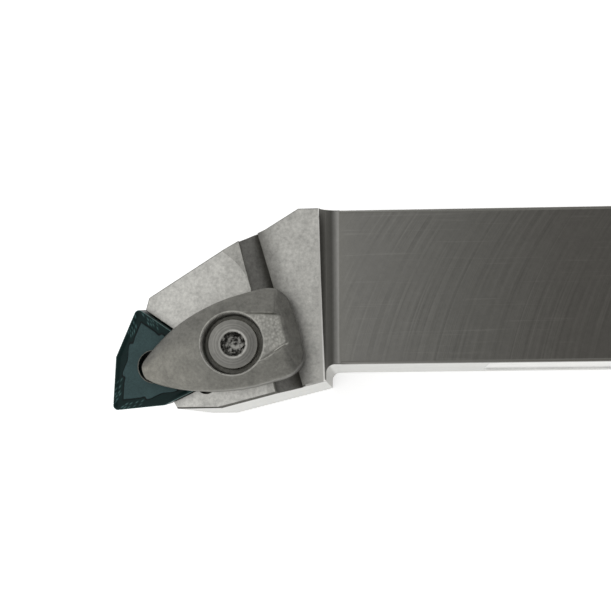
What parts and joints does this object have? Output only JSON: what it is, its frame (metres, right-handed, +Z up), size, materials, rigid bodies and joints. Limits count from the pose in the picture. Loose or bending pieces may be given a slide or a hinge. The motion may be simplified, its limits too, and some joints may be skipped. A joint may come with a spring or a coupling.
{
  "type": "turning tool holder",
  "caption": "Square-shank turning tool holder with a trigon insert on a shim, held by a screwed top clamp with a heel in a ramped slot.",
  "frame": {"origin": "centre of the shank's base face, half way along the tool and on the shank's centre plane", "axes": "+X from the cutting head to the shank's end, +Y to the far side, away from the cutting tip, +Z up from the base to the clamp"},
  "size_m": [0.15, 0.032, 0.0343],
  "materials": {
    "holder_steel": "milled, matt nickel grey",
    "coated_carbide": "dark green-grey coating",
    "bare_carbide": "ground",
    "screw_steel": "turned, darkened",
    "clamp_steel": "blasted, grey",
    "spring_steel": "drawn"
  },
  "bodies": {
    "holder": {"holder_body": "holder_steel", "insert": "coated_carbide", "shim": "bare_carbide", "shim_screw": "screw_steel"},
    "clamp": {"clamp": "clamp_steel", "clamp_spring": "spring_steel"},
    "screw": {"clamp_screw": "screw_steel", "retaining_ring": "spring_steel"}
  },
  "joints": [
    {"name": "clamp_lift", "type": "slide", "parent": "holder", "child": "clamp", "axis": [0, 0, 1], "range_m": [0, 0.0028], "deforming": ["clamp_spring"]},
    {"name": "screw_turn", "type": "hinge", "parent": "clamp", "child": "screw", "pos_m": [-0.05485, -0.00953, 0.03], "axis": [0, 0, 1], "range_deg": [0, 1261]}
  ],
  "couplings": [
    {"joint": "screw_turn", "follows": "clamp_lift", "rad_per_m": 7854}
  ]
}
